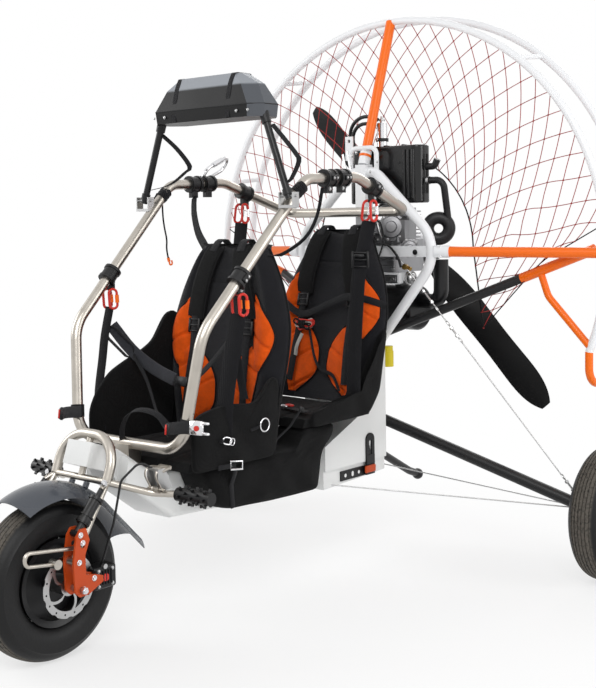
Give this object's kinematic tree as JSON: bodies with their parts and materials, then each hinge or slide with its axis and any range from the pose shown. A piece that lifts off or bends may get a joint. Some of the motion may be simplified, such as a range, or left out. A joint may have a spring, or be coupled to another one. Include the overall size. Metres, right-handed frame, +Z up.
{
  "type": "two-seat paramotor trike",
  "caption": "Three-wheeled open tube trike with tandem harness seats, a pusher propeller in a hooped guard, foot steering and an overhead pod.",
  "frame": {"origin": "on the ground under the middle of the machine's length and width", "axes": "+Z up, +Y towards the propeller at the rear, +X to the vehicle's left"},
  "size_m": [1.714, 1.912, 1.7618],
  "materials": {
    "satin_steel": "satin bent tube",
    "bolt_steel": "plain steel",
    "black_plastic": "moulded",
    "orange_paint": "gloss powder coat",
    "net_cord": "red braided net cord",
    "plate_orange": "anodised orange",
    "white_paint": "gloss powder coat",
    "white_shell": "moulded shell",
    "tyre": "ribbed road tyre",
    "rim": "black wheel rim",
    "fender_grey": "dark grey gloss",
    "seat_cloth": "black cordura with orange panels",
    "webbing": "woven polyester webbing",
    "engine_alloy": "cast alloy",
    "black_metal": "satin black",
    "propeller": "gloss black carbon",
    "pod": "dark grey moulded shell",
    "bottle": "yellow plastic"
  },
  "bodies": {
    "frame": {"seat_wings": "seat_cloth", "tank_fittings": "black_plastic", "canister": "engine_alloy", "intake_duct": "black_plastic", "keel": "white_shell", "tank": "white_shell", "cage": "satin_steel", "tube_clamps": "black_plastic", "harness_straps": "webbing", "propeller_net": "net_cord", "pull_cord": "webbing", "pull_hook": "orange_paint", "cage_brackets": "bolt_steel", "front_seat_back": "seat_cloth", "front_seat_pan": "seat_cloth", "rear_seat_back": "seat_cloth", "rear_seat_pan": "seat_cloth", "side_cloth": "seat_cloth", "cage_mounts": "satin_steel", "engine_frame": "white_paint", "engine_block": "engine_alloy", "cylinder": "engine_alloy", "airbox": "black_plastic", "silencer": "black_metal", "front_ring": "white_paint", "rear_ring": "white_paint", "ring_spacers": "white_paint", "ring_end_loops": "orange_paint", "spars": "orange_paint", "cage_struts": "black_metal", "axle_struts": "black_metal", "stay_wires": "bolt_steel", "tail_skid": "black_metal", "yellow_bottle": "bottle"},
    "fork": {"fork_frame": "satin_steel", "foot_pegs": "black_metal", "brake_pedal": "bolt_steel", "front_axle": "bolt_steel", "swing_arms": "plate_orange", "shock_absorbers": "black_metal", "fender": "fender_grey", "brake_caliper": "black_metal", "brake_cable": "black_plastic"},
    "front_wheel": {"front_tyre": "tyre", "front_rim": "rim", "brake_rotor": "bolt_steel"},
    "rear_wheel_left": {"rear_tyre_left": "tyre", "rear_rim_left": "rim"},
    "rear_wheel_right": {"rear_tyre_right": "tyre", "rear_rim_right": "rim"},
    "propeller": {"propeller": "propeller"},
    "pod": {"pod_rods": "black_metal", "pod_shell": "pod"}
  },
  "joints": [
    {"name": "steering", "type": "hinge", "parent": "frame", "child": "fork", "pos_m": [0, -0.618, 0.492], "axis": [0, 0.342, 0.9397], "range_deg": [-25, 25]},
    {"name": "front_wheel_spin", "type": "hinge", "parent": "fork", "child": "front_wheel", "pos_m": [0, -0.756, 0.2], "axis": [1, 0, 0], "continuous": true},
    {"name": "rear_wheel_left_spin", "type": "hinge", "parent": "frame", "child": "rear_wheel_left", "pos_m": [0.8, 0.704, 0.2], "axis": [1, 0, 0], "continuous": true},
    {"name": "rear_wheel_right_spin", "type": "hinge", "parent": "frame", "child": "rear_wheel_right", "pos_m": [-0.8, 0.704, 0.2], "axis": [1, 0, 0], "continuous": true},
    {"name": "propeller_spin", "type": "hinge", "parent": "frame", "child": "propeller", "pos_m": [0, 0.91, 0.975], "axis": [0, 1, 0], "continuous": true},
    {"name": "pod_fold", "type": "hinge", "parent": "frame", "child": "pod", "pos_m": [0, -0.134, 1.146], "axis": [1, 0, 0], "range_deg": [0, 70]}
  ]
}
